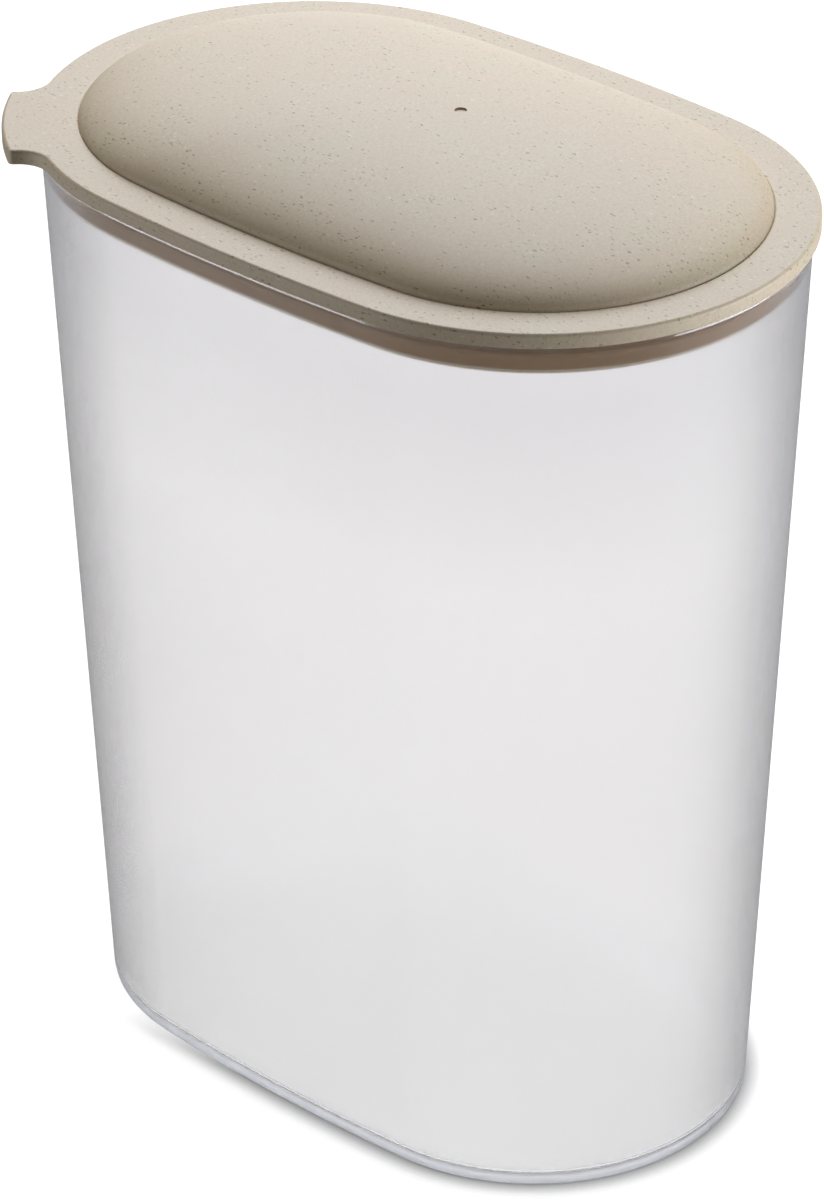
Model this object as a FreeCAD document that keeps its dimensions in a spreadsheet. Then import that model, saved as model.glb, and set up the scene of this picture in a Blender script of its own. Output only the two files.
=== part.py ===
# Food storage jar: a tall tapered oval container, a domed lid with a pull tab that lifts off it,
# and the soft sealing ring in the groove round the lid's plug.
# Frame: +Z up, X along the oval, the origin on the ground under the middle of the foot.

import FreeCAD
import Part
import Sketcher

import math
import os

doc = FreeCAD.newDocument("food_storage_jar")

# Driving dimensions, in millimetres and degrees
SIZES = [
    ("end_spread", 72.5, "distance between the centres of the oval's two end arcs"),
    ("side_bow", 1.3, "how far the long sides bow out beyond the end arcs"),
    ("base_radius", 53.9, "end radius of the container on the ground"),
    ("rim_radius", 63.6, "end radius of the container's wall at the rim"),
    ("rim_height", 236.5, "height of the container's rim"),
    ("wall_thickness", 2.0, "container wall"),
    ("floor_thickness", 3.0, "container floor"),
    ("base_round", 1.2, "rounding of the container's lower edge"),
    ("floor_round", 1.2, "rounding inside, where the floor meets the wall"),
    ("foot_width", 5.0, "width of the ring that the container stands on"),
    ("foot_height", 0.8, "recess of the underside inside that ring"),
    ("strip_height", 3.1, "polished strip round the rim"),
    ("strip_proud", 0.25, "how far that strip stands out from the wall"),
    ("rim_round", 0.6, "rounding of the rim's two top edges"),
    ("flange_overhang", 1.6, "how far the lid's flat rim reaches past the container's wall"),
    ("flange_thickness", 3.5, "lid's flat rim"),
    ("flange_round", 0.9, "rounding of the flat rim's top edge"),
    ("tab_angle", 45.0, "direction of the pull tab from the long axis, in degrees"),
    ("tab_width", 33.6, "pull tab from corner to corner"),
    ("tab_reach", 7.4, "how far the pull tab stands out from the flat rim"),
    ("tab_root", 8.0, "radius of the hollow corners beside the pull tab"),
    ("tab_corner", 1.2, "rounding of the pull tab's own corners"),
    ("dome_inset", 11.0, "width of the flat rim round the dome"),
    ("dome_height", 11.5, "dome above the flat rim"),
    ("dome_wall", 2.2, "thickness of the dome"),
    ("collar_height", 3.1, "plug above the sealing ring"),
    ("collar_clearance", 1.0, "gap between that part of the plug and the wall"),
    ("plug_thickness", 3.4, "plug from its inside to the collar's outer face"),
    ("groove_depth", 1.4, "depth of the groove for the sealing ring"),
    ("seal_height", 4.2, "sealing ring, and the groove that it fills"),
    ("seal_clearance", 0.3, "gap between the sealing ring and the wall"),
    ("seal_round", 0.7, "rounding of the sealing ring's outer edges"),
    ("lip_height", 1.2, "lip of the plug that holds the sealing ring up"),
    ("lip_setback", 0.6, "how much less that lip stands out than the collar"),
    ("gate_x", 6.0, "place of the moulding mark on the dome, along the oval"),
    ("gate_y", 7.3, "place of the moulding mark on the dome, across the oval"),
    ("gate_width", 3.0, "diameter of the moulding mark"),
    ("gate_depth", 0.6, "bottom of the moulding mark below the top of the dome"),
]

sheet = doc.addObject("Spreadsheet::Sheet", "sizes")
for row, (alias, value, meaning) in enumerate(SIZES, start=1):
    sheet.set(f"A{row}", meaning)
    sheet.set(f"B{row}", str(value))
    sheet.setAlias(f"B{row}", alias)
doc.recompute()

# Heights and radii that follow from the driving dimensions
FLANGE_TOP = "(sizes.rim_height + sizes.flange_thickness)"
SEAL_TOP = "(sizes.rim_height - sizes.collar_height)"
SEAL_BOTTOM = "(sizes.rim_height - sizes.collar_height - sizes.seal_height)"
PLUG_DEPTH = "(sizes.collar_height + sizes.seal_height + sizes.lip_height)"
SIDE_GAIN = "((sizes.end_spread^2 / 4 + sizes.side_bow^2) / (2 * sizes.side_bow))"
WALL_SLOPE = "((sizes.rim_radius - sizes.base_radius) / sizes.rim_height)"


def inside_radius(level):
    """The end radius of the container's inside at a height."""
    return f"(sizes.base_radius - sizes.wall_thickness + {level} * {WALL_SLOPE})"


FLANGE_RADIUS = "(sizes.rim_radius + sizes.flange_overhang)"
TAB_RADIUS = f"({FLANGE_RADIUS} + sizes.tab_reach)"
DOME_RADIUS = f"({FLANGE_RADIUS} - sizes.dome_inset)"
HOLLOW_RADIUS = f"({DOME_RADIUS} - sizes.dome_wall)"
COLLAR_RADIUS = f"({inside_radius(SEAL_TOP)} - sizes.collar_clearance)"
GROOVE_RADIUS = f"({COLLAR_RADIUS} - sizes.groove_depth)"
LIP_RADIUS = f"({COLLAR_RADIUS} - sizes.lip_setback)"
PLUG_INSIDE_RADIUS = f"({COLLAR_RADIUS} - sizes.plug_thickness)"
SEAL_RADIUS = f"({inside_radius(SEAL_BOTTOM)} - sizes.seal_clearance)"

# Names for the places on a sketched curve, and for the sketch's own origin and axis
START, END, CENTRE = 1, 2, 3
ORIGIN = -1
X_AXIS = -1
UP = FreeCAD.Vector(0, 0, 1)


def number(formula):
    """The value of a formula at the present sizes."""
    return float(sheet.evalExpression(formula))


def level_sketch(body, name, level):
    """An empty sketch of the body, level with the ground at a height."""
    sketch = body.newObject("Sketcher::SketchObject", name)
    ground = next(plane for plane in body.Origin.OriginFeatures if plane.Role == "XY_Plane")
    sketch.AttachmentSupport = [(ground, "")]
    sketch.MapMode = "FlatFace"
    sketch.setExpression("AttachmentOffset.Base.z", level)
    return sketch


def relate(sketch, kind, *places):
    """Adds a constraint that has no size."""
    sketch.addConstraint(Sketcher.Constraint(kind, *places))


def measure(sketch, kind, places, formula):
    """Adds a constraint whose size follows a formula, in millimetres or degrees."""
    value = math.radians(number(formula)) if kind == "Angle" else number(formula)
    index = sketch.addConstraint(Sketcher.Constraint(kind, *places, value))
    sketch.setExpression(f"Constraints[{index}]", formula)


def add_arc(sketch, centre, radius, start, end):
    """Adds an arc, with its angles in radians, and returns its place in the sketch."""
    circle = Part.Circle(FreeCAD.Vector(*centre), UP, radius)
    return sketch.addGeometry(Part.ArcOfCircle(circle, start, end), False)


def add_oval(sketch, radius, scale="1"):
    """Adds the jar's oval: two end arcs of the radius, and two long bowed sides tangent to them."""
    end_place = f"{scale} * sizes.end_spread / 2"
    end_radius = f"{scale} * {radius}"
    side_radius = f"{scale} * ({radius} + {SIDE_GAIN})"
    x = number(end_place)
    y = math.sqrt((number(side_radius) - number(end_radius)) ** 2 - x**2)
    turn = math.atan2(y, x)
    right = add_arc(sketch, (x, 0), number(end_radius), -turn, turn)
    back = add_arc(sketch, (0, -y), number(side_radius), turn, math.pi - turn)
    left = add_arc(sketch, (-x, 0), number(end_radius), math.pi - turn, math.pi + turn)
    front = add_arc(sketch, (0, y), number(side_radius), math.pi + turn, 2 * math.pi - turn)
    for arc, following in ((right, back), (back, left), (left, front), (front, right)):
        relate(sketch, "Tangent", arc, END, following, START)
    relate(sketch, "PointOnObject", right, CENTRE, X_AXIS)
    relate(sketch, "Symmetric", right, CENTRE, left, CENTRE, ORIGIN, START)
    relate(sketch, "Equal", right, left)
    relate(sketch, "Equal", back, front)
    measure(sketch, "DistanceX", (ORIGIN, START, right, CENTRE), end_place)
    measure(sketch, "Radius", (right,), end_radius)
    measure(sketch, "Radius", (back,), side_radius)


def oval_sketch(body, name, level, *radii):
    """A level sketch with one oval, or with two for a ring."""
    sketch = level_sketch(body, name, level)
    for radius in radii:
        add_oval(sketch, radius)
    return sketch


def extrude(body, kind, name, sketch, length, reverse=False):
    """A pad or pocket of the sketch: a pad rises and a pocket sinks, unless reversed."""
    feature = body.newObject(kind, name)
    feature.Profile = sketch
    feature.Reversed = reverse
    feature.setExpression("Length", length)
    doc.recompute()


def straight_loft(body, kind, name, lower, upper):
    """A solid or a cut with straight sides from one level outline to another."""
    feature = body.newObject(kind, name)
    feature.Profile = lower
    feature.Sections = [upper]
    feature.Ruled = True
    doc.recompute()


def level_edges(body, level):
    """The edges of the body so far that lie level at a height."""
    height = number(level)
    boxes = [(edge, edge.BoundBox) for edge in body.Tip.Shape.Edges]
    return [edge for edge, box in boxes if max(abs(box.ZMin - height), abs(box.ZMax - height)) < 1e-4]


def round_edges(body, name, radius, edges):
    """Rounds some edges of the body so far."""
    base = body.Tip
    named = enumerate(base.Shape.Edges, start=1)
    chosen = [f"Edge{place}" for place, edge in named if any(edge.isSame(other) for other in edges)]
    feature = body.newObject("PartDesign::Fillet", name)
    feature.Base = (base, chosen)
    feature.setExpression("Radius", radius)
    doc.recompute()


def build_container():
    """The frosted container: tapered wall, floor, foot and the strip round its rim."""
    body = doc.addObject("PartDesign::Body", "container")
    ground = oval_sketch(body, "ground_outline", "0", "sizes.base_radius")
    rim = oval_sketch(body, "rim_outline", "sizes.rim_height", "sizes.rim_radius")
    straight_loft(body, "PartDesign::AdditiveLoft", "outside", ground, rim)
    strip_level = "sizes.rim_height - sizes.strip_height"
    strip = oval_sketch(body, "strip_outline", strip_level, "(sizes.rim_radius + sizes.strip_proud)")
    extrude(body, "PartDesign::Pad", "rim_strip", strip, "sizes.strip_height")
    round_edges(body, "base_rounding", "sizes.base_round", level_edges(body, "0"))

    floor_level = "sizes.floor_thickness"
    floor = oval_sketch(body, "floor_outline", floor_level, inside_radius(floor_level))
    mouth = oval_sketch(body, "mouth_outline", "sizes.rim_height", inside_radius("sizes.rim_height"))
    straight_loft(body, "PartDesign::SubtractiveLoft", "inside", floor, mouth)
    round_edges(body, "floor_rounding", "sizes.floor_round", level_edges(body, floor_level))
    round_edges(body, "rim_rounding", "sizes.rim_round", level_edges(body, "sizes.rim_height"))

    foot = oval_sketch(body, "foot_outline", "0", "(sizes.base_radius - sizes.foot_width)")
    extrude(body, "PartDesign::Pocket", "foot_recess", foot, "sizes.foot_height", reverse=True)
    return body


def tab_sketch(body):
    """The pull tab: an outer arc round an end centre, and hollow corners that run into the flat rim."""
    sketch = level_sketch(body, "tab_outline", "sizes.rim_height")
    end_x = number("-sizes.end_spread / 2")
    reach = number(TAB_RADIUS)
    root = number("sizes.tab_root")
    out = number(FLANGE_RADIUS) + root
    middle = math.pi + math.radians(number("sizes.tab_angle"))
    half = math.asin(number("sizes.tab_width") / 2 / reach)
    hollow = math.acos((reach**2 + out**2 - root**2) / (2 * reach * out))

    def place(radius, turn):
        return FreeCAD.Vector(end_x + radius * math.cos(middle + turn), radius * math.sin(middle + turn), 0)

    rim = sketch.addGeometry(Part.Circle(FreeCAD.Vector(end_x, 0, 0), UP, number(FLANGE_RADIUS)), True)
    relate(sketch, "PointOnObject", rim, CENTRE, X_AXIS)
    measure(sketch, "DistanceX", (ORIGIN, START, rim, CENTRE), "-sizes.end_spread / 2")
    measure(sketch, "Radius", (rim,), FLANGE_RADIUS)

    outer = add_arc(sketch, (end_x, 0), reach, middle - half, middle + half)
    relate(sketch, "Coincident", outer, CENTRE, rim, CENTRE)
    measure(sketch, "Radius", (outer,), TAB_RADIUS)
    span = sketch.addGeometry(Part.LineSegment(place(reach, -half), place(reach, half)), True)
    relate(sketch, "Coincident", span, START, outer, START)
    relate(sketch, "Coincident", span, END, outer, END)
    measure(sketch, "Distance", (span,), "sizes.tab_width")
    measure(sketch, "Angle", (span,), "(sizes.tab_angle - 90) * 1 deg")

    # Each hollow corner touches the flat rim's edge at one end and meets the outer arc at the other
    feet = [place(number(FLANGE_RADIUS), side * (half + hollow)) for side in (-1, 1)]
    chord = sketch.addGeometry(Part.LineSegment(*feet), False)
    for side, outer_end, to_outer, to_rim in ((-1, START, START, END), (1, END, END, START)):
        centre = place(out, side * (half + hollow))
        corner = place(reach, side * half) - centre
        turns = {to_outer: math.atan2(corner.y, corner.x), to_rim: middle + side * (half + hollow) + math.pi}
        arc = add_arc(sketch, (centre.x, centre.y), root, turns[START], turns[END])
        relate(sketch, "Coincident", arc, to_outer, outer, outer_end)
        relate(sketch, "Tangent", arc, to_rim, rim)
        relate(sketch, "Coincident", chord, outer_end, arc, to_rim)
        measure(sketch, "Radius", (arc,), "sizes.tab_root")
    return sketch


def tab_corners(body):
    """The two upright edges at the pull tab's own corners."""
    end_centre = FreeCAD.Vector(number("-sizes.end_spread / 2"), 0, 0)
    reach = number(TAB_RADIUS)
    corners = []
    for edge in body.Tip.Shape.Edges:
        lower, upper = edge.Vertexes[0].Point, edge.Vertexes[-1].Point
        foot, head = FreeCAD.Vector(lower.x, lower.y, 0), FreeCAD.Vector(upper.x, upper.y, 0)
        upright = foot.distanceToPoint(head) < 1e-6 and abs(upper.z - lower.z) > 1e-3
        if upright and abs(foot.distanceToPoint(end_centre) - reach) < 1e-3:
            corners.append(edge)
    return corners


def build_lid_plate():
    """The lid without its dome: flat rim with the pull tab, and the hollow plug with its groove."""
    body = doc.addObject("PartDesign::Body", "lid_plate")
    flange = oval_sketch(body, "flange_outline", "sizes.rim_height", FLANGE_RADIUS)
    extrude(body, "PartDesign::Pad", "flange", flange, "sizes.flange_thickness")
    extrude(body, "PartDesign::Pad", "tab", tab_sketch(body), "sizes.flange_thickness")
    round_edges(body, "tab_rounding", "sizes.tab_corner", tab_corners(body))
    round_edges(body, "flange_rounding", "sizes.flange_round", level_edges(body, FLANGE_TOP))

    collar = oval_sketch(body, "collar_outline", "sizes.rim_height", COLLAR_RADIUS)
    extrude(body, "PartDesign::Pad", "collar", collar, "sizes.collar_height", reverse=True)
    groove = oval_sketch(body, "groove_outline", SEAL_TOP, GROOVE_RADIUS)
    extrude(body, "PartDesign::Pad", "groove_floor", groove, "sizes.seal_height", reverse=True)
    lip = oval_sketch(body, "lip_outline", SEAL_BOTTOM, LIP_RADIUS)
    extrude(body, "PartDesign::Pad", "lip", lip, "sizes.lip_height", reverse=True)

    plug = oval_sketch(body, "plug_inside", "sizes.rim_height", PLUG_INSIDE_RADIUS)
    extrude(body, "PartDesign::Pocket", "plug_hollow", plug, PLUG_DEPTH)
    hole = oval_sketch(body, "hole_outline", "sizes.rim_height", HOLLOW_RADIUS)
    extrude(body, "PartDesign::Pocket", "flange_hole", hole, "sizes.flange_thickness", reverse=True)
    return body


def dome_solid(name, radius, height):
    """A pillow on the flat rim: ovals shrink as they rise, so that upright sections are half ellipses."""
    sections = []
    for turn in range(0, 90, 12):
        sketch = doc.addObject("Sketcher::SketchObject", f"{name}_section_{turn}")
        sketch.setExpression("Placement.Base.z", f"{FLANGE_TOP} + {height} * sin({turn} deg)")
        add_oval(sketch, radius, f"cos({turn} deg)")
        sections.append(sketch)
    top = doc.addObject("Part::Vertex", f"{name}_top")
    top.setExpression("Z", f"{FLANGE_TOP} + {height}")
    loft = doc.addObject("Part::Loft", name)
    loft.Sections = sections + [top]
    loft.Solid = True
    loft.MaxDegree = 3
    return loft


def combine(kind, name, base, tool):
    """A boolean of two solids: Part::Cut or Part::Fuse."""
    result = doc.addObject(kind, name)
    result.Base = base
    result.Tool = tool
    return result


def build_lid():
    """The lid: its plate, the hollow dome on it, and the small round mark that the moulding left."""
    plate = build_lid_plate()
    outside = dome_solid("dome_outside", DOME_RADIUS, "sizes.dome_height")
    inside = dome_solid("dome_inside", HOLLOW_RADIUS, "(sizes.dome_height - sizes.dome_wall)")
    shell = combine("Part::Cut", "dome_shell", outside, inside)
    blank = combine("Part::Fuse", "lid_blank", plate, shell)
    mark = doc.addObject("Part::Cylinder", "gate_mark")
    mark.setExpression("Radius", "sizes.gate_width / 2")
    mark.setExpression("Height", "sizes.gate_depth")
    mark.setExpression("Placement.Base.x", "sizes.gate_x")
    mark.setExpression("Placement.Base.y", "sizes.gate_y")
    mark.setExpression("Placement.Base.z", f"{FLANGE_TOP} + sizes.dome_height - sizes.gate_depth")
    return combine("Part::Cut", "lid", blank, mark)


def build_sealing_ring():
    """The soft ring: it fills the plug's groove and stands out nearly to the container's wall."""
    body = doc.addObject("PartDesign::Body", "sealing_ring")
    outline = oval_sketch(body, "ring_outline", SEAL_BOTTOM, SEAL_RADIUS, GROOVE_RADIUS)
    extrude(body, "PartDesign::Pad", "ring", outline, "sizes.seal_height")
    level_faces = [face for face in body.Tip.Shape.Faces if face.BoundBox.ZLength < 1e-4]
    outer_edges = [edge for face in level_faces for edge in face.OuterWire.Edges]
    round_edges(body, "ring_rounding", "sizes.seal_round", outer_edges)
    return body


pieces = [build_container(), build_lid(), build_sealing_ring()]
doc.recompute()

# Every object must be sound before any piece is written
for item in doc.Objects:
    if "Invalid" in item.State or "Error" in item.State:
        raise RuntimeError(f"{item.Name} did not build: {item.State}")
for piece in pieces:
    if piece.Shape.isNull() or not piece.Shape.isValid() or len(piece.Shape.Solids) != 1:
        raise RuntimeError(f"{piece.Label} is not one sound solid")

os.makedirs("parts", exist_ok=True)
for piece in pieces:
    piece.Shape.exportStep(f"parts/{piece.Label}.step")
    box = piece.Shape.optimalBoundingBox(True, False)
    print(f"{piece.Label}: {piece.Shape.Volume / 1000:.1f} cm3,",
          f"{box.XLength:.1f} x {box.YLength:.1f} x {box.ZLength:.1f} mm from z {box.ZMin:.1f}")
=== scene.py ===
# %% [markdown]
# # A tall food storage jar
# The jar has three pieces: a frosted container, a speckled lid with a pull tab, and the soft ring that
# seals the lid's plug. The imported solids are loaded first, and give the place of every piece. Each piece
# is then modelled again with smooth surfaces and fine edges, and rides on the body of its solid.

# %% Load the frame
import math

import bmesh
import bpy
from mathutils import Matrix, Vector


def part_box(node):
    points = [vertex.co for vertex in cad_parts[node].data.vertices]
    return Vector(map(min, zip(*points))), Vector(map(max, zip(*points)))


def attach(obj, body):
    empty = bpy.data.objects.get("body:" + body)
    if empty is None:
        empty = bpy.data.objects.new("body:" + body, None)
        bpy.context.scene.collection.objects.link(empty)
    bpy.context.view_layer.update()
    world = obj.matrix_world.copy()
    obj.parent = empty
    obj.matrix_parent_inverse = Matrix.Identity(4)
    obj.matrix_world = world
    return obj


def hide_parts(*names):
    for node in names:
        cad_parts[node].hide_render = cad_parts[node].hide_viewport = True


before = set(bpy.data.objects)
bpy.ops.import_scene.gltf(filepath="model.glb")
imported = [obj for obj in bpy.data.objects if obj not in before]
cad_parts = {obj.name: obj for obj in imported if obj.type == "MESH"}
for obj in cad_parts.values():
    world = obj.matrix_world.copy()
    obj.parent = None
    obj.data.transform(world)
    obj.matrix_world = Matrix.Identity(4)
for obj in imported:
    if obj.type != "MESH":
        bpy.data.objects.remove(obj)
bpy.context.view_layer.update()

MM = 0.001

# %% [markdown]
# ## The oval
# Seen from above, every outline of the jar is the same oval: two round ends, and two long sides that bow
# out a little. A stretched circle would be too pointed, and a slot shape would have straight sides. The
# oval is drawn as four arcs that touch. Wider and narrower ovals keep the arcs' centres, so one upright
# section can be carried round the four centres to make a whole wall.

# %% The four arcs
HALF_SPREAD = 36.25 * MM
SIDE_BOW = 1.3 * MM
SIDE_GAIN = (HALF_SPREAD**2 + SIDE_BOW**2) / (2 * SIDE_BOW)
SIDE_DEPTH = SIDE_GAIN - SIDE_BOW
END_TURN = math.atan2(SIDE_DEPTH, HALF_SPREAD)
SIDE_TURN = math.pi - 2 * END_TURN
RIGHT_END, LEFT_END = (HALF_SPREAD, 0, 0), (-HALF_SPREAD, 0, 0)
BACK_SIDE, FRONT_SIDE = (0, -SIDE_DEPTH, 0), (0, SIDE_DEPTH, 0)
END_STEPS, SIDE_STEPS = 72, 16
OVAL = [
    (RIGHT_END, 2 * END_TURN, END_STEPS),
    (BACK_SIDE, SIDE_TURN, SIDE_STEPS),
    (LEFT_END, 2 * END_TURN, END_STEPS),
    (FRONT_SIDE, SIDE_TURN, SIDE_STEPS),
]
print(f"end arcs turn {math.degrees(2 * END_TURN):.1f} degrees, side arcs {math.degrees(SIDE_TURN):.1f}")


# %% Helpers for carrying a shape along arcs
MERGE_DISTANCE = 0.001 * MM
ROUND_STEPS = 6
CRISP_ANGLE = math.radians(32)


def joint_point(radius, height):
    """The point of an oval, and at a height, where the front side runs into the right end."""
    return Vector((HALF_SPREAD + radius * math.cos(END_TURN), -radius * math.sin(END_TURN), height))


def follow_arcs(bm, geometry, arcs):
    """Spins vertices and edges along arcs that follow one another, and closes the round."""
    for centre, angle, steps in arcs:
        spun = bmesh.ops.spin(bm, geom=geometry, cent=centre, axis=(0, 0, 1), angle=angle, steps=steps)
        geometry = spun["geom_last"]
    bmesh.ops.remove_doubles(bm, verts=bm.verts, dist=MERGE_DISTANCE)


def section_wall(bm, corners):
    """A wall from an upright section: corners give radius, height and rounding, all in millimetres."""
    points = [bm.verts.new(joint_point(radius * MM, height * MM)) for radius, height, _ in corners]
    for pair in zip(points, points[1:]):
        bm.edges.new(pair)
    for point, (_, _, rounding) in zip(points, corners):
        if rounding:
            bmesh.ops.bevel(bm, geom=[point], affect="VERTICES", offset=rounding * MM,
                            segments=ROUND_STEPS, profile=0.5, material=-1)
    follow_arcs(bm, bm.verts[:] + bm.edges[:], OVAL)


def finish_piece(bm, name, body, node):
    """Makes an object of the mesh, smooth but crisp at real edges, which stands for its solid."""
    bmesh.ops.recalc_face_normals(bm, faces=bm.faces)
    for face in bm.faces:
        face.smooth = True
    for edge in bm.edges:
        edge.smooth = edge.calc_face_angle(math.pi) < CRISP_ANGLE
    mesh = bpy.data.meshes.new(name)
    bm.to_mesh(mesh)
    bm.free()
    piece = bpy.data.objects.new(name, mesh)
    bpy.context.scene.collection.objects.link(piece)
    normals = piece.modifiers.new("flat faces stay flat", "WEIGHTED_NORMAL")
    normals.keep_sharp = True
    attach(piece, body)
    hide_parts(node)
    low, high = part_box(node)
    print(f"{name}: {len(mesh.polygons)} faces, solid from {low.z / MM:.1f} to {high.z / MM:.1f} mm")
    return piece


# %% [markdown]
# ## The container
# The container is a tapered wall with a floor, moulded in one. A plain loft would give a solid block, so
# the wall's own section is drawn instead: foot, outside, rim, inside and floor. Light then passes through
# a real thickness of plastic. The rim has a polished strip that stands out by a quarter of a millimetre,
# and the underside is hollowed so that only a ring touches the table.

# %% Container
RIM_HEIGHT = 236.5
STRIP_BOTTOM = 233.4
BASE_RADIUS, RIM_RADIUS = 53.9, 63.6
STRIP_RADIUS = RIM_RADIUS + 0.25
WALL, FLOOR = 2.0, 3.0
FOOT_RADIUS, FOOT_RECESS = BASE_RADIUS - 5.0, 0.8
BASE_ROUND, RIM_ROUND, INNER_RIM_ROUND, FLOOR_ROUND = 1.2, 1.7, 0.5, 1.2
WALL_SLOPE = (RIM_RADIUS - BASE_RADIUS) / RIM_HEIGHT
FLOOR_MIDDLE = 30.0


def wall_radius(height, inset=0.0):
    """The end radius of the tapered wall at a height, in millimetres."""
    return BASE_RADIUS + WALL_SLOPE * height - inset


container_mesh = bmesh.new()
section_wall(container_mesh, [
    (FLOOR_MIDDLE, FOOT_RECESS, 0),
    (FOOT_RADIUS, FOOT_RECESS, 0.3),
    (FOOT_RADIUS, 0, 0.3),
    (BASE_RADIUS, 0, BASE_ROUND),
    (wall_radius(STRIP_BOTTOM), STRIP_BOTTOM, 0),
    (STRIP_RADIUS, STRIP_BOTTOM, 0.1),
    (STRIP_RADIUS, RIM_HEIGHT, RIM_ROUND),
    (wall_radius(RIM_HEIGHT, WALL), RIM_HEIGHT, INNER_RIM_ROUND),
    (wall_radius(FLOOR, WALL), FLOOR, FLOOR_ROUND),
    (FLOOR_MIDDLE, FLOOR, 0),
])
middle_edges = [e for e in container_mesh.edges if e.is_boundary]
bmesh.ops.holes_fill(container_mesh, edges=middle_edges, sides=0)
container = finish_piece(container_mesh, "frosted_container", "container_body", "container")

# %% [markdown]
# ## The sealing ring
# A soft ring sits in the groove round the lid's plug. On a real jar it presses on the inside of the wall.
# Here it stays a third of a millimetre clear, because the pieces are rigid. It shows through the frosted
# plastic as a tan band. A closed section with rounded outer corners is carried round the oval, because
# the ring is a plain band of one thickness.

# %% Sealing ring
GROOVE_RADIUS, SEAL_RADIUS = 59.07, 61.0
SEAL_BOTTOM, SEAL_TOP = 229.2, 233.4
SEAL_ROUND = 0.7
seal_mesh = bmesh.new()
section_wall(seal_mesh, [
    (GROOVE_RADIUS, SEAL_TOP, 0),
    (GROOVE_RADIUS, SEAL_BOTTOM, 0),
    (SEAL_RADIUS, SEAL_BOTTOM, SEAL_ROUND),
    (SEAL_RADIUS, SEAL_TOP, SEAL_ROUND),
    (GROOVE_RADIUS, SEAL_TOP, 0),
])
seal = finish_piece(seal_mesh, "soft_sealing_ring", "lid_body", "sealing_ring")

# %% [markdown]
# ## The lid
# The lid is one moulding: a flat rim with a pull tab on one diagonal, a hollow dome on it and a plug
# under it. The rim's outline is drawn as arcs, with the tab's hollow corners among them, then filled and
# extruded. The plug and the dome's inner edge are an upright section carried round the oval.

# %% Outline of the flat rim with its pull tab
FLANGE_RADIUS, FLANGE_TOP = 65.2 * MM, 240.0 * MM
TAB_RADIUS, TAB_WIDTH, TAB_ROOT = 72.6 * MM, 33.6 * MM, 8.0 * MM
TAB_DIRECTION = math.radians(225)
LONG_STEPS, TAB_STEPS, SHORT_STEPS = 48, 14, 10
root_distance = FLANGE_RADIUS + TAB_ROOT
tab_half = math.asin(TAB_WIDTH / 2 / TAB_RADIUS)
root_half = math.acos((TAB_RADIUS**2 + root_distance**2 - TAB_ROOT**2)
                      / (2 * TAB_RADIUS * root_distance))
root_turn = math.acos((root_distance**2 + TAB_ROOT**2 - TAB_RADIUS**2)
                      / (2 * root_distance * TAB_ROOT))


def root_centre(side):
    """The centre of the hollow corner before (-1) or after (1) the pull tab."""
    angle = TAB_DIRECTION + side * (tab_half + root_half)
    return Vector(LEFT_END) + root_distance * Vector((math.cos(angle), math.sin(angle), 0))


to_tab = TAB_DIRECTION - tab_half - root_half - (math.pi - END_TURN)
from_tab = math.pi + END_TURN - (TAB_DIRECTION + tab_half + root_half)
FLANGE = OVAL[:2] + [
    (LEFT_END, to_tab, LONG_STEPS),
    (root_centre(-1), -root_turn, SHORT_STEPS),
    (LEFT_END, 2 * tab_half, TAB_STEPS),
    (root_centre(1), -root_turn, SHORT_STEPS),
    (LEFT_END, from_tab, SHORT_STEPS),
] + OVAL[3:]
lid_mesh = bmesh.new()
follow_arcs(lid_mesh, [lid_mesh.verts.new(joint_point(FLANGE_RADIUS, RIM_HEIGHT * MM))], FLANGE)
print(f"lid outline: {len(lid_mesh.edges)} edges, tab {math.degrees(2 * tab_half):.1f} degrees wide")

# %% Flat rim
TAB_CORNER, FLANGE_ROUND = 1.1 * MM, 0.9 * MM
SHARP_CORNER = math.radians(45)
MANY_SIDES = 50
bmesh.ops.contextual_create(lid_mesh, geom=lid_mesh.edges[:])
raised = bmesh.ops.extrude_face_region(lid_mesh, geom=lid_mesh.faces[:])["geom"]
bmesh.ops.translate(lid_mesh, vec=(0, 0, FLANGE_TOP - RIM_HEIGHT * MM),
                    verts=[g for g in raised if isinstance(g, bmesh.types.BMVert)])
bmesh.ops.recalc_face_normals(lid_mesh, faces=lid_mesh.faces)
tab_corners = [e for e in lid_mesh.edges
               if abs(e.verts[0].co.z - e.verts[1].co.z) > MM and e.calc_face_angle() > SHARP_CORNER]
bmesh.ops.bevel(lid_mesh, geom=tab_corners, affect="EDGES", offset=TAB_CORNER,
                segments=ROUND_STEPS, profile=0.5, material=-1)
top_face = max(lid_mesh.faces, key=lambda face: face.calc_center_median().z)
bmesh.ops.bevel(lid_mesh, geom=top_face.edges[:], affect="EDGES", offset=FLANGE_ROUND,
                segments=ROUND_STEPS, profile=0.5, material=-1)
lid_mesh.faces.ensure_lookup_table()
level_faces = [face for face in lid_mesh.faces if len(face.verts) > MANY_SIDES]
bmesh.ops.delete(lid_mesh, geom=level_faces, context="FACES_ONLY")
print(f"rim: {len(lid_mesh.faces)} faces, {len(tab_corners)} tab corners rounded")

# %% [markdown]
# The dome's crease is an oval on the flat rim. From there the dome rises in rings that shrink towards the
# middle, so every upright cut through the middle is half an ellipse. The inside follows the same rule
# with a smaller oval, which leaves a wall of about two millimetres. A hair-fine groove runs round the foot
# of the dome, where the real crease is so sharp that it shows as a thin dark line.

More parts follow.
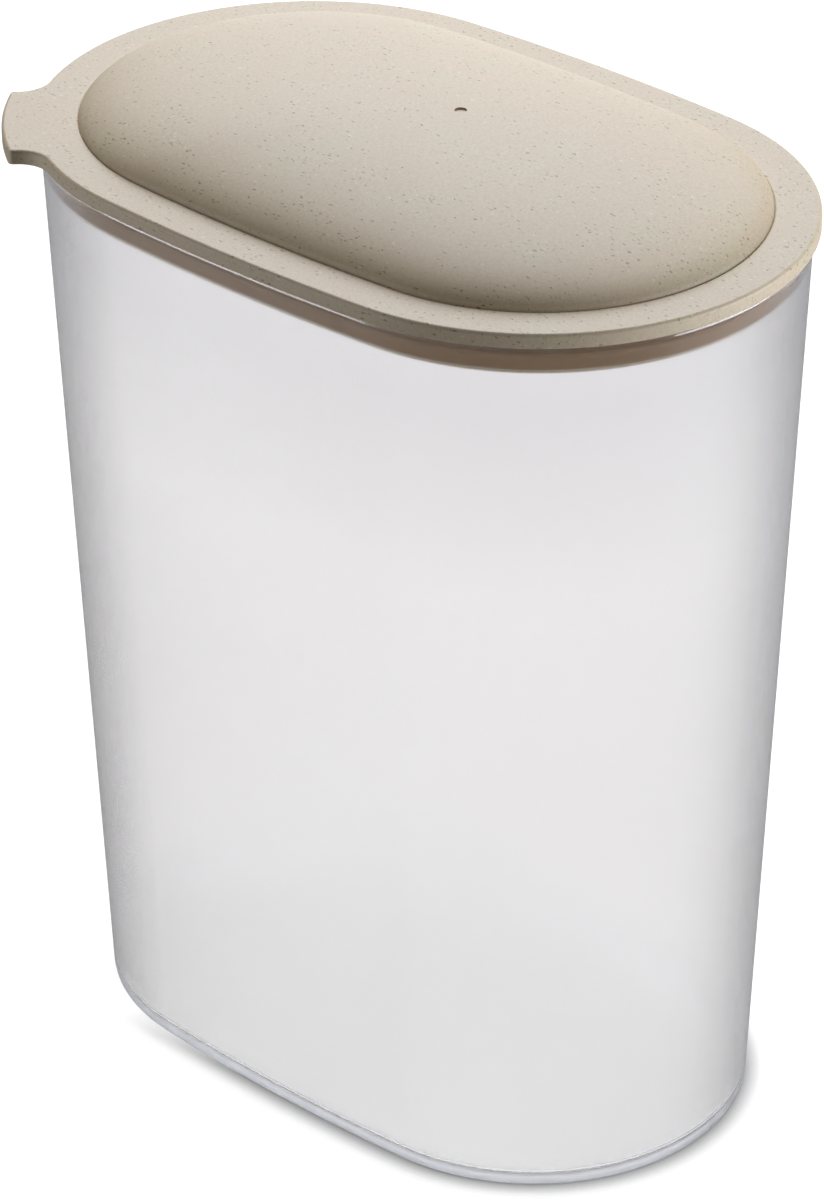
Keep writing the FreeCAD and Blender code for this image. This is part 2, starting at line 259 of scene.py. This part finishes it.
# %% Crease, plug and dome
DOME_RADIUS, HOLLOW_RADIUS = 54.2, 52.0
DOME_HEIGHT, DOME_WALL = 11.5 * MM, 2.2 * MM
DOME_RINGS = 36
GROOVE_DEPTH, GROOVE_BOTTOM, GROOVE_TOP = 0.3 * MM, 1.001, 1.005
COLLAR_RADIUS, LIP_RADIUS, PLUG_INSIDE = 60.47, 59.87, 57.07
PLUG_BOTTOM = 228.0


def open_edges(bm, height):
    """The open edges of the mesh that lie level at a height."""
    level = [e for e in bm.edges if e.is_boundary or e.is_wire]
    return [e for e in level if max(abs(v.co.z - height) for v in e.verts) < MERGE_DISTANCE]


def extrude_rim(bm, rim, widen, rise):
    """Extrudes a rim, widens it by a factor and lifts it, and gives its new edges."""
    grown = bmesh.ops.extrude_edge_only(bm, edges=rim)["geom"]
    verts = [g for g in grown if isinstance(g, bmesh.types.BMVert)]
    bmesh.ops.scale(bm, vec=(widen, widen, 1), verts=verts)
    bmesh.ops.translate(bm, vec=(0, 0, rise), verts=verts)
    moved = set(verts)
    return [g for g in grown if isinstance(g, bmesh.types.BMEdge) and moved.issuperset(g.verts)]


def raise_dome(bm, rim, height):
    """Extrudes a rim upwards in shrinking rings, and closes them in one point over the middle."""
    base = rim[0].verts[0].co.z
    for ring in range(DOME_RINGS):
        low, high = (math.pi / 2 * place / DOME_RINGS for place in (ring, ring + 1))
        shrink, rise = math.cos(high) / math.cos(low), math.sin(high) - math.sin(low)
        rim = extrude_rim(bm, rim, shrink, height * rise)
    last_ring = list({v for e in rim for v in e.verts})
    bmesh.ops.pointmerge(bm, verts=last_ring, merge_co=(0, 0, base + height))


plug_mesh = bmesh.new()
section_wall(plug_mesh, [
    (COLLAR_RADIUS, RIM_HEIGHT, 0),
    (COLLAR_RADIUS, SEAL_TOP, 0.2),
    (GROOVE_RADIUS, SEAL_TOP, 0),
    (GROOVE_RADIUS, SEAL_BOTTOM, 0),
    (LIP_RADIUS, SEAL_BOTTOM, 0.2),
    (LIP_RADIUS, PLUG_BOTTOM, 0.3),
    (PLUG_INSIDE, PLUG_BOTTOM, 0.3),
    (PLUG_INSIDE, RIM_HEIGHT, 0.8),
    (HOLLOW_RADIUS, RIM_HEIGHT, 0),
    (HOLLOW_RADIUS, FLANGE_TOP / MM, 0),
])
raise_dome(plug_mesh, open_edges(plug_mesh, FLANGE_TOP), DOME_HEIGHT - DOME_WALL)
plug_part = bpy.data.meshes.new("plug_part")
plug_mesh.to_mesh(plug_part)
plug_mesh.free()

dome_mesh = bmesh.new()
follow_arcs(dome_mesh, [dome_mesh.verts.new(joint_point(DOME_RADIUS * MM, FLANGE_TOP))], OVAL)
crease = open_edges(dome_mesh, FLANGE_TOP)
raise_dome(dome_mesh, crease, DOME_HEIGHT)
groove = extrude_rim(dome_mesh, crease, GROOVE_BOTTOM, -GROOVE_DEPTH)
extrude_rim(dome_mesh, groove, GROOVE_TOP, GROOVE_DEPTH)
dome_part = bpy.data.meshes.new("dome_part")
dome_mesh.to_mesh(dome_part)
dome_mesh.free()

for part in (plug_part, dome_part):
    lid_mesh.from_mesh(part)
    bpy.data.meshes.remove(part)
for height in (FLANGE_TOP, RIM_HEIGHT * MM):
    bmesh.ops.triangle_fill(lid_mesh, edges=open_edges(lid_mesh, height), use_beauty=True,
                            normal=(0, 0, 1))
print(f"lid: {len(lid_mesh.faces)} faces, {sum(e.is_boundary for e in lid_mesh.edges)} open edges")

# %% [markdown]
# Where the plastic was let into the mould, a small round hollow is left near the top of the dome. It is
# cut with a short cylinder, because no edge of the dome's rings lies where its circle is.

# %% Moulding mark and finished lid
GATE_PLACE = Vector((6.0, 7.3, 252.0)) * MM
GATE_RADIUS, CUTTER_LENGTH = 1.5 * MM, 2.2 * MM
bmesh.ops.recalc_face_normals(lid_mesh, faces=lid_mesh.faces)
blank_mesh = bpy.data.meshes.new("lid_blank")
lid_mesh.to_mesh(blank_mesh)
blank = bpy.data.objects.new("lid_blank", blank_mesh)
cutter_mesh = bmesh.new()
bmesh.ops.create_cone(cutter_mesh, cap_ends=True, segments=40, radius1=GATE_RADIUS,
                      radius2=GATE_RADIUS, depth=CUTTER_LENGTH, matrix=Matrix.Translation(GATE_PLACE))
cutter = bpy.data.objects.new("gate_cutter", bpy.data.meshes.new("gate_cutter"))
cutter_mesh.to_mesh(cutter.data)
cutter_mesh.free()
for helper in (blank, cutter):
    bpy.context.scene.collection.objects.link(helper)
cut = blank.modifiers.new("moulding mark", "BOOLEAN")
cut.operation = "DIFFERENCE"
cut.object = cutter
depsgraph = bpy.context.evaluated_depsgraph_get()
shaped = bpy.data.meshes.new_from_object(blank.evaluated_get(depsgraph))
lid_mesh.clear()
lid_mesh.from_mesh(shaped)
for helper in (blank, cutter):
    bpy.data.meshes.remove(helper.data)
bpy.data.meshes.remove(shaped)
lid = finish_piece(lid_mesh, "speckled_lid", "lid_body", "lid")

# %% [markdown]
# ## Finishes
# Colours are written as hex values, as on a colour card, and turned to the linear values that the shader
# works with. One small function adds a node with its settings and links.


# %% Helpers for finishes
def linear(code):
    """A colour card's hex value as linear red, green, blue and full alpha."""
    channels = [int(code[place:place + 2], 16) / 255 for place in (1, 3, 5)]
    return [c / 12.92 if c <= 0.04045 else ((c + 0.055) / 1.055) ** 2.4
            for c in channels] + [1.0]


def add_node(tree, kind, inputs=None, **settings):
    """Adds a node, with its settings, and values or other nodes' outputs for its inputs."""
    node = tree.nodes.new(kind)
    for name, value in settings.items():
        setattr(node, name, value)
    for socket, value in (inputs or {}).items():
        if isinstance(value, bpy.types.NodeSocket):
            tree.links.new(value, node.inputs[socket])
        else:
            node.inputs[socket].default_value = value
    return node


def new_finish(name, *pieces):
    """An empty node material on some pieces."""
    material = bpy.data.materials.new(name)
    material.use_nodes = True
    material.node_tree.nodes.clear()
    for piece in pieces:
        piece.data.materials.clear()
        piece.data.materials.append(material)
    return material.node_tree


# %% [markdown]
# ### Frosted SAN
# The container is injection moulded from styrene acrylonitrile (SAN), a hard clear plastic, in a mould
# with a fine matt etch. The eye sees a milky white that blurs whatever stands behind the wall, and edges
# that turn darker where the wall is seen slantwise. Rough glass does that: its slanting faces mirror the
# dim room instead of the bright background. Its colour is painted a little greyer towards the rim, as
# painted shade under the lid, and bluish grey in a band at the foot, as painted shade. The etch stops at
# the rim, so the strip there is polished and shows what is behind it. It is coarser round the foot. Its
# real grain is finer than a tenth of a millimetre, so it is drawn coarser here.

# %% Frosted finish
ETCH_GRAIN, ETCH_DEPTH = 0.35 * MM, 0.05 * MM
FLOW_WIDTH = 60 * MM
# Painted shade: the ramp is bluish grey in a band at the foot, and greyer towards the rim under the lid.
MILK_AND_PAINTED_SHADE = ((0.01, "#DFE2EA"), (0.02, "#F4F3F3"), (0.5, "#F1F0F0"), (0.72, "#F1F0F0"), (0.92, "#E3E2E3"))
FOOT_TOP, FOOT_FADE = 3 * MM, 6 * MM
POLISH_START, POLISH_END = 233.2 * MM, 233.5 * MM
ROUGH_LOW, ROUGH_HIGH, ROUGH_FOOT, ROUGH_POLISHED = 0.2, 0.26, 0.4, 0.1
HAZE_SHARE, LEVEL_START = 0.15, 0.8
SAN_IOR = 1.57
tree = new_finish("frosted_san_moulded", container)
coordinates = add_node(tree, "ShaderNodeTexCoord").outputs
place = coordinates["Object"]
height = add_node(tree, "ShaderNodeSeparateXYZ", {"Vector": place}).outputs["Z"]
level = add_node(tree, "ShaderNodeMapRange", {"Value": height, "From Max": RIM_HEIGHT * MM})
milk_and_painted_shade = add_node(tree, "ShaderNodeValToRGB", {"Fac": level.outputs[0]})
for position, _ in MILK_AND_PAINTED_SHADE[1:-1]:
    milk_and_painted_shade.color_ramp.elements.new(position)
for stop, (position, code) in zip(milk_and_painted_shade.color_ramp.elements, MILK_AND_PAINTED_SHADE):
    stop.position = position
    stop.color = linear(code)
clouds = add_node(tree, "ShaderNodeTexNoise", {
    "Vector": place, "Scale": 1 / FLOW_WIDTH, "Detail": 2.0})
haze = add_node(tree, "ShaderNodeMapRange", {"Value": clouds.outputs["Fac"], "To Max": HAZE_SHARE})
hazed_with_painted_shade = add_node(tree, "ShaderNodeMix", {"Factor": haze.outputs[0], "A": milk_and_painted_shade.outputs["Color"],
                                         "B": linear("#F2F0EE")}, data_type="RGBA")
# Painted light: level faces, such as the floor, are tinted pure white, so the floor seen through the wall
# looks brighter.
facing = add_node(tree, "ShaderNodeSeparateXYZ", {"Vector": coordinates["Normal"]}).outputs["Z"]
slope = add_node(tree, "ShaderNodeMath", {0: facing}, operation="ABSOLUTE")
clear = add_node(tree, "ShaderNodeMapRange", {
    "Value": slope.outputs[0], "From Min": LEVEL_START, "From Max": 1.0})
painted_light_and_shade_tint = add_node(tree, "ShaderNodeMix", {"Factor": clear.outputs[0], "A": hazed_with_painted_shade.outputs["Result"],
                                        "B": (1, 1, 1, 1)}, data_type="RGBA")
flow = add_node(tree, "ShaderNodeMapRange", {
    "Value": clouds.outputs["Fac"], "To Min": ROUGH_LOW, "To Max": ROUGH_HIGH})
foot = add_node(tree, "ShaderNodeMapRange", {
    "Value": height, "From Min": FOOT_TOP, "From Max": FOOT_FADE,
    "To Min": ROUGH_FOOT, "To Max": 0.0})
coarse = add_node(tree, "ShaderNodeMath", {0: flow.outputs[0], 1: foot.outputs[0]}, operation="MAXIMUM")
polish = add_node(tree, "ShaderNodeMapRange", {
    "Value": height, "From Min": POLISH_START, "From Max": POLISH_END})
roughness = add_node(tree, "ShaderNodeMix", {
    "Factor": polish.outputs[0], "A": coarse.outputs[0], "B": ROUGH_POLISHED})
etch = add_node(tree, "ShaderNodeTexNoise", {"Vector": place, "Scale": 1 / ETCH_GRAIN, "Detail": 1.0})
relief = add_node(tree, "ShaderNodeBump", {
    "Height": etch.outputs["Fac"], "Strength": 0.05, "Distance": ETCH_DEPTH})
frosted = add_node(tree, "ShaderNodeBsdfPrincipled", {
    "Base Color": painted_light_and_shade_tint.outputs["Result"], "Roughness": roughness.outputs["Result"],
    "Normal": relief.outputs[0], "IOR": SAN_IOR, "Transmission Weight": 1.0})
add_node(tree, "ShaderNodeOutputMaterial", {"Surface": frosted.outputs["BSDF"]})

# %% [markdown]
# ### Speckled biocomposite
# The lid is moulded from a plastic filled with plant fibre. It is a matt warm sand with faint clouds of
# pink and green, a fine grain, and dark brown fibres about a millimetre long that lie in all directions.
# Each layer of fibres is a cell pattern squeezed along one direction, so that the middle of a cell becomes
# a short streak. A random value for each cell makes most streaks too small to see and a few large. Towards
# the top of the dome, where the light is strong, the photograph shows fewer of them, so they thin out there.

# %% Speckled finish
CLOUD_WIDTH, GRAIN_WIDTH, GRAIN_DEPTH = 14 * MM, 0.7 * MM, 0.06 * MM
FIBRE_SPACING, FIBRE_STRETCH = 0.85 * MM, 0.36
FRAY_WIDTH, FRAY_REACH = 0.6 * MM, 0.9 * MM
SAND = ((0.3, "#D0BFA5"), (0.5, "#CFC0A5"), (0.7, "#CDC2A5"))
FIBRES = ((15, "#7A4A08"), (78, "#845612"), (135, "#6B4006"), (105, "#E6DAC2"))
tree = new_finish("speckled_biocomposite_moulded", lid)
place = add_node(tree, "ShaderNodeTexCoord").outputs["Object"]
clouds = add_node(tree, "ShaderNodeTexNoise", {
    "Vector": place, "Scale": 1 / CLOUD_WIDTH, "Detail": 3.0})
sand = add_node(tree, "ShaderNodeValToRGB", {"Fac": clouds.outputs["Fac"]})
for position, _ in SAND[1:-1]:
    sand.color_ramp.elements.new(position)
for stop, (position, code) in zip(sand.color_ramp.elements, SAND):
    stop.position = position
    stop.color = linear(code)
grain = add_node(tree, "ShaderNodeTexNoise", {
    "Vector": place, "Scale": 1 / GRAIN_WIDTH, "Detail": 2.0})
grain_depth = add_node(tree, "ShaderNodeMapRange", {
    "Value": grain.outputs["Fac"], "From Min": 0.35, "From Max": 0.7, "To Min": 0.0, "To Max": 0.25})
grained = add_node(tree, "ShaderNodeMix", {
    "Factor": grain_depth.outputs[0], "A": sand.outputs["Color"], "B": linear("#A3947A")}, data_type="RGBA")
colour = grained.outputs["Result"]

# %% Fibres
THIN_START, THIN_END, THIN_SHARE = 0.5, 0.95, 0.55
RAREST = 0.95
FIBRE_SIZE, FIBRE_EDGE, FIBRE_STRENGTH = 0.3, 0.1, 0.62
crowding = add_node(tree, "ShaderNodeMapRange", {
    "Value": clouds.outputs["Fac"], "From Min": 0.38, "From Max": 0.62, "To Min": 0.85, "To Max": 0.2})
height = add_node(tree, "ShaderNodeSeparateXYZ", {"Vector": place}).outputs["Z"]
# Painted highlight: the fibres thin out towards the top of the dome, standing in for strong light that
# washes them out.
painted_highlight_thinning = add_node(tree, "ShaderNodeMapRange", {
    "Value": height, "From Min": FLANGE_TOP + THIN_START * DOME_HEIGHT,
    "From Max": FLANGE_TOP + THIN_END * DOME_HEIGHT, "To Max": THIN_SHARE})
threshold = add_node(tree, "ShaderNodeMix", {
    "Factor": painted_highlight_thinning.outputs[0], "A": crowding.outputs[0], "B": RAREST})
frayed = add_node(tree, "ShaderNodeTexNoise", {"Vector": place, "Scale": 1 / FRAY_WIDTH, "Detail": 1.0})
bent = add_node(tree, "ShaderNodeVectorMath", {
    0: frayed.outputs["Color"], 1: (FRAY_REACH, FRAY_REACH, FRAY_REACH), 2: place}, operation="MULTIPLY_ADD")
for turn, code in FIBRES:
    lie = add_node(tree, "ShaderNodeMapping", {
        "Vector": bent.outputs[0], "Location": (turn * MM, 0, turn * MM),
        "Rotation": (math.radians(turn / 3), 0, math.radians(turn)), "Scale": (FIBRE_STRETCH, 1, 1)})
    cells = add_node(tree, "ShaderNodeTexVoronoi", {"Vector": lie.outputs[0], "Scale": 1 / FIBRE_SPACING})
    chance = add_node(tree, "ShaderNodeSeparateColor", {"Color": cells.outputs["Color"]})
    size = add_node(tree, "ShaderNodeMapRange", {
        "Value": chance.outputs["Red"], "From Min": threshold.outputs["Result"], "From Max": 1.0,
        "To Min": 0.0, "To Max": FIBRE_SIZE})
    streak = add_node(tree, "ShaderNodeMath", {0: size.outputs[0], 1: cells.outputs["Distance"]},
                      operation="SUBTRACT")
    mask = add_node(tree, "ShaderNodeMapRange", {
        "Value": streak.outputs[0], "From Min": 0.0, "From Max": FIBRE_EDGE,
        "To Min": 0.0, "To Max": FIBRE_STRENGTH})
    layered = add_node(tree, "ShaderNodeMix", {"Factor": mask.outputs[0], "A": colour, "B": linear(code)},
                       data_type="RGBA")
    colour = layered.outputs["Result"]

# %% Skin of the lid
skin = add_node(tree, "ShaderNodeBump", {
    "Height": grain.outputs["Fac"], "Strength": 0.15, "Distance": GRAIN_DEPTH})
matt = add_node(tree, "ShaderNodeMapRange", {
    "Value": grain.outputs["Fac"], "To Min": 0.46, "To Max": 0.58})
speckled = add_node(tree, "ShaderNodeBsdfPrincipled", {
    "Base Color": colour, "Roughness": matt.outputs[0], "Normal": skin.outputs[0], "IOR": 1.5})
add_node(tree, "ShaderNodeOutputMaterial", {"Surface": speckled.outputs["BSDF"]})
print(f"lid finish: {len(tree.nodes)} nodes, {len(FIBRES)} layers of fibres")

# %% [markdown]
# ### Soft elastomer
# The sealing ring is a thermoplastic elastomer in a tan close to the lid's. It has a satin skin with a
# slight unevenness, as soft mouldings do, and takes up a little dust, which makes its colour patchy.

# %% Soft finish
PATCH_WIDTH, DENT_DEPTH = 3 * MM, 0.1 * MM
tree = new_finish("soft_elastomer_moulded", seal)
place = add_node(tree, "ShaderNodeTexCoord").outputs["Object"]
patches = add_node(tree, "ShaderNodeTexNoise", {
    "Vector": place, "Scale": 1 / PATCH_WIDTH, "Detail": 3.0})
tan = add_node(tree, "ShaderNodeMix", {
    "Factor": patches.outputs["Fac"], "A": linear("#8C6630"), "B": linear("#9B7640")}, data_type="RGBA")
satin = add_node(tree, "ShaderNodeMapRange", {
    "Value": patches.outputs["Fac"], "To Min": 0.42, "To Max": 0.58})
dents = add_node(tree, "ShaderNodeBump", {
    "Height": patches.outputs["Fac"], "Strength": 0.1, "Distance": DENT_DEPTH})
elastomer = add_node(tree, "ShaderNodeBsdfPrincipled", {
    "Base Color": tan.outputs["Result"], "Roughness": satin.outputs[0], "Normal": dents.outputs[0],
    "IOR": 1.45})
add_node(tree, "ShaderNodeOutputMaterial", {"Surface": elastomer.outputs["BSDF"]})
print(f"ring finish: {len(tree.nodes)} nodes")

# %% [markdown]
# ## Camera
# The camera stands where the photograph was taken from: about 42 degrees round from the front, 31 degrees
# up, and far away with a long lens, so upright edges hardly lean.

# %% Camera
AZIMUTH, ELEVATION, ROLL = (math.radians(angle) for angle in (42.3566, 30.5893, -0.3657))
AIM_HEIGHT, AIM_LEFT, AIM_DOWN = 120 * MM, 2.7058 * MM, 0.1774 * MM
CAMERA_DISTANCE, FOCAL_LENGTH = 1301.76 * MM, 159.373
right = Vector((math.cos(AZIMUTH), math.sin(AZIMUTH), 0))
level_back = Vector((-math.sin(AZIMUTH), math.cos(AZIMUTH), 0))
back = Vector((math.sin(AZIMUTH) * math.cos(ELEVATION), -math.cos(AZIMUTH) * math.cos(ELEVATION),
               math.sin(ELEVATION)))
up = back.cross(right)
picture_right = math.cos(ROLL) * right + math.sin(ROLL) * up
picture_up = math.cos(ROLL) * up - math.sin(ROLL) * right
aim = Vector((0, 0, AIM_HEIGHT)) - AIM_LEFT * picture_right - AIM_DOWN * picture_up
lens = bpy.data.cameras.new("photo_camera")
lens.lens = FOCAL_LENGTH
camera = bpy.data.objects.new("photo_camera", lens)
camera.matrix_world = Matrix((picture_right, picture_up, back)).transposed().to_4x4()
camera.location = aim + CAMERA_DISTANCE * back
bpy.context.scene.collection.objects.link(camera)
bpy.context.scene.camera = camera
print(f"camera {CAMERA_DISTANCE:.2f} m from the jar")

# %% [markdown]
# ## The set
# The photograph shows the jar on plain white, with only a thin shadow where it touches the ground. So the
# floor is a large disc of pale paper that glows white where the camera sees it, as a back-lit table does.
# A wide shadow would need a lamp over the jar, which would also light the lid wrongly. Instead, the glow
# is held back by how much of the sky the jar's foot hides within a few millimetres. It is left alone on
# the far left, where the photograph has no shadow. Through the plastic the glow is always seen.

# %% Floor
FLOOR_SIZE, FLOOR_DROP = 3.0, 0.05 * MM
floor_mesh = bmesh.new()
bmesh.ops.create_circle(floor_mesh, cap_ends=True, segments=64, radius=FLOOR_SIZE,
                        matrix=Matrix.Translation((0, 0, -FLOOR_DROP)))
floor = bpy.data.objects.new("studio_floor", bpy.data.meshes.new("studio_floor"))
floor_mesh.to_mesh(floor.data)
floor_mesh.free()
bpy.context.scene.collection.objects.link(floor)

# %% Who sees the white
REFLECTED_WHITE = 0.05


def seen_directly(tree):
    """1 where the camera sees a surface itself or through the plastic, and little in a reflection.

    Reflections see the white as dim, as if dark cards stood beside the set. That darkens slanting edges.
    """
    path = add_node(tree, "ShaderNodeLightPath").outputs
    reflected = add_node(tree, "ShaderNodeMath", {0: path["Is Glossy Ray"], 1: REFLECTED_WHITE},
                         operation="MULTIPLY")
    either = add_node(tree, "ShaderNodeMath", {0: path["Is Camera Ray"], 1: reflected.outputs[0]},
                      operation="MAXIMUM")
    return add_node(tree, "ShaderNodeMath", {0: either.outputs[0], 1: path["Is Transmission Ray"]},
                    operation="MAXIMUM").outputs[0]


# %% Paper of the floor
SHADOW_WIDTH = 7 * MM
FADE_START, FADE_END = -36 * MM, 14 * MM
FULL_GLOW, SHADOW_GLOW = 0.95, 0.2
SKY_HIDDEN, SKY_OPEN = 0.42, 0.9
shadow_side = (0.5 * right - 0.85 * level_back).normalized()
tree = new_finish("pale_studio_paper", floor)
dim_paper = add_node(tree, "ShaderNodeBsdfDiffuse", {"Color": (0.25, 0.25, 0.25, 1)})
paper = add_node(tree, "ShaderNodeBsdfDiffuse", {"Color": (0.2, 0.2, 0.2, 1)})
open_sky = add_node(tree, "ShaderNodeAmbientOcclusion", {"Distance": SHADOW_WIDTH}, samples=8)
contact = add_node(tree, "ShaderNodeMapRange", {
    "Value": open_sky.outputs["AO"], "From Min": SKY_HIDDEN, "From Max": SKY_OPEN,
    "To Min": SHADOW_GLOW, "To Max": FULL_GLOW})
spot = add_node(tree, "ShaderNodeTexCoord").outputs["Object"]
forward = add_node(tree, "ShaderNodeVectorMath", {0: spot, 1: shadow_side}, operation="DOT_PRODUCT")
far_left = add_node(tree, "ShaderNodeMapRange", {
    "Value": forward.outputs["Value"], "From Min": FADE_START, "From Max": FADE_END,
    "To Min": FULL_GLOW, "To Max": 0.0})
shaded = add_node(tree, "ShaderNodeMath", {0: contact.outputs[0], 1: far_left.outputs[0]},
                  operation="MAXIMUM")
through = add_node(tree, "ShaderNodeLightPath").outputs["Is Transmission Ray"]
lit = add_node(tree, "ShaderNodeMath", {0: shaded.outputs[0], 1: through}, operation="MAXIMUM")
glow = add_node(tree, "ShaderNodeEmission", {"Strength": lit.outputs[0]})
bright = add_node(tree, "ShaderNodeAddShader", {0: paper.outputs[0], 1: glow.outputs[0]})
either = add_node(tree, "ShaderNodeMixShader", {
    0: seen_directly(tree), 1: dim_paper.outputs[0], 2: bright.outputs[0]})
add_node(tree, "ShaderNodeOutputMaterial", {"Surface": either.outputs[0]})
print(f"floor: shadow within {SHADOW_WIDTH / MM:.0f} mm of the foot")

# %% [markdown]
# The background is white for the camera and through the plastic, but it must not light the lid from all
# sides, or the dome would look flat. For all other light it is a weak warm fill.

# %% World
world = bpy.data.worlds.new("studio")
bpy.context.scene.world = world
world.use_nodes = True
tree = world.node_tree
tree.nodes.clear()
fill = add_node(tree, "ShaderNodeBackground", {"Color": linear("#FFF6E8"), "Strength": 0.08})
white = add_node(tree, "ShaderNodeBackground", {"Color": (1, 1, 1, 1), "Strength": 1.0})
background = add_node(tree, "ShaderNodeMixShader", {
    0: seen_directly(tree), 1: fill.outputs[0], 2: white.outputs[0]})
add_node(tree, "ShaderNodeOutputWorld", {"Surface": background.outputs[0]})
print(f"world: {len(tree.nodes)} nodes")

# %% [markdown]
# A large soft lamp behind the jar lights the top of the dome and leaves its near side dark, as in the
# photograph. A wide one on the right brightens the right end. A small one on the left draws the thin line
# along the polished rim, and a low card behind puts the light edge on the far side of the dome.


# %% Lamps
LAMP_AIM = Vector((0, 0, 0.2))


def softbox(name, place, width, height, power, colour):
    """A soft lamp that faces the jar's upper half."""
    lamp = bpy.data.lights.new(name, "AREA")
    lamp.shape = "RECTANGLE"
    lamp.size = width
    lamp.size_y = height
    lamp.energy = power
    lamp.color = linear(colour)[:3]
    holder = bpy.data.objects.new(name, lamp)
    holder.location = place
    holder.rotation_mode = "QUATERNION"
    holder.rotation_quaternion = (LAMP_AIM - place).to_track_quat("-Z", "Y")
    holder.visible_camera = False
    bpy.context.scene.collection.objects.link(holder)


KEY_DISTANCE, KEY_DIRECTION = 1.1, Vector((-0.44, 0.60, 0.66))
LID_MIDDLE = Vector((0, 0, 0.24))
key_place = LID_MIDDLE + KEY_DISTANCE * KEY_DIRECTION
right_place = 1.0 * right - 0.25 * level_back + LAMP_AIM
left_place = -1.0 * right - 0.2 * level_back + LAMP_AIM
card_place = 0.8 * level_back + Vector((0, 0, 0.25))
softbox("key_softbox", key_place, 0.9, 0.9, 15.1, "#F6F8FF")
softbox("right_softbox", right_place, 0.9, 0.4, 12, "#F3F6FF")
softbox("left_softbox", left_place, 0.4, 0.4, 3, "#F6F8FF")
softbox("back_card", card_place, 0.5, 0.5, 1.2, "#F6F8FF")
print("lamps:", sorted(lamp.name for lamp in bpy.data.lights))

# %% View transform
scene = bpy.context.scene
scene.view_settings.view_transform = "Standard"
